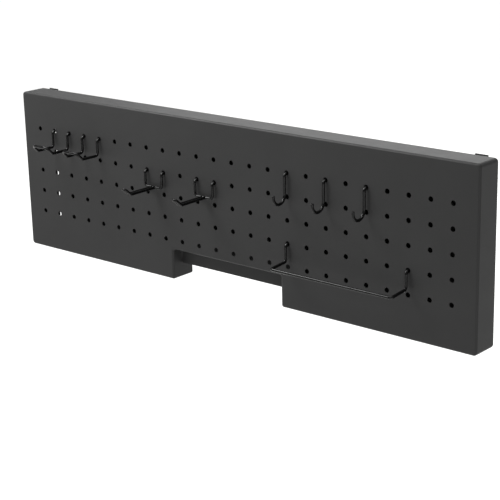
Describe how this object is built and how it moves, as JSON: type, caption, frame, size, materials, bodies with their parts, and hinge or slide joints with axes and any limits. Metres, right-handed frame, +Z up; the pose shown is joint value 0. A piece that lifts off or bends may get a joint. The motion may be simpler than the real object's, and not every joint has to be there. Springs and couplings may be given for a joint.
{
  "type": "pegboard tool wall",
  "caption": "Wall-hung dark steel pegboard panel with a cut-out in its bottom edge, an inner plate on two hangers, and lift-off black wire hooks.",
  "frame": {"origin": "centre of the rectangle of four wall-screw holes, on the plane of the hangers that touches the wall; the centre of the peg grid lies straight in front of it", "axes": "+X along the panel to the right as seen from the front, +Y into the wall, +Z up; the perforated face looks along -Y"},
  "size_m": [0.632, 0.0841, 0.1875],
  "materials": {
    "powder_coat": "matt dark grey powder coat",
    "black_wire": "glossy black dip coat",
    "zinc_fastener": "bright zinc plate",
    "rubber_pad": "black rubber"
  },
  "bodies": {
    "root": {"front_panel": "powder_coat", "back_plate": "powder_coat", "hanger_left": "powder_coat", "hanger_right": "powder_coat", "lip_screws": "zinc_fastener", "lip_nuts": "zinc_fastener", "plate_screws": "zinc_fastener", "plate_washers": "zinc_fastener", "plate_nuts": "zinc_fastener", "wall_pads": "rubber_pad"},
    "loop_hook_left": {"loop_hook_left": "black_wire"},
    "loop_hook_right": {"loop_hook_right": "black_wire"},
    "tool_hook_left": {"tool_hook_left_base": "black_wire", "tool_hook_left_arm": "black_wire"},
    "tool_hook_right": {"tool_hook_right_base": "black_wire", "tool_hook_right_arm": "black_wire"},
    "j_hook_left": {"j_hook_left": "black_wire"},
    "j_hook_middle": {"j_hook_middle": "black_wire"},
    "j_hook_right": {"j_hook_right": "black_wire"},
    "long_bar_hook": {"long_bar_hook": "black_wire"}
  },
  "joints": [
    {"name": "loop_hook_left_tilt", "type": "hinge", "parent": "root", "child": "loop_hook_left", "pos_m": [0, -0.033, 0.058], "axis": [-1, 0, 0], "range_deg": [0, 80]},
    {"name": "loop_hook_right_tilt", "type": "hinge", "parent": "root", "child": "loop_hook_right", "pos_m": [0, -0.033, 0.058], "axis": [-1, 0, 0], "range_deg": [0, 80]},
    {"name": "tool_hook_left_tilt", "type": "hinge", "parent": "root", "child": "tool_hook_left", "pos_m": [0, -0.033, 0.033], "axis": [-1, 0, 0], "range_deg": [0, 80]},
    {"name": "tool_hook_right_tilt", "type": "hinge", "parent": "root", "child": "tool_hook_right", "pos_m": [0, -0.033, 0.033], "axis": [-1, 0, 0], "range_deg": [0, 80]},
    {"name": "j_hook_left_tilt", "type": "hinge", "parent": "root", "child": "j_hook_left", "pos_m": [0, -0.033, 0.058], "axis": [-1, 0, 0], "range_deg": [0, 80]},
    {"name": "j_hook_middle_tilt", "type": "hinge", "parent": "root", "child": "j_hook_middle", "pos_m": [0, -0.033, 0.058], "axis": [-1, 0, 0], "range_deg": [0, 80]},
    {"name": "j_hook_right_tilt", "type": "hinge", "parent": "root", "child": "j_hook_right", "pos_m": [0, -0.033, 0.058], "axis": [-1, 0, 0], "range_deg": [0, 80]},
    {"name": "long_bar_hook_tilt", "type": "hinge", "parent": "root", "child": "long_bar_hook", "pos_m": [0, -0.033, -0.017], "axis": [-1, 0, 0], "range_deg": [0, 80]}
  ]
}
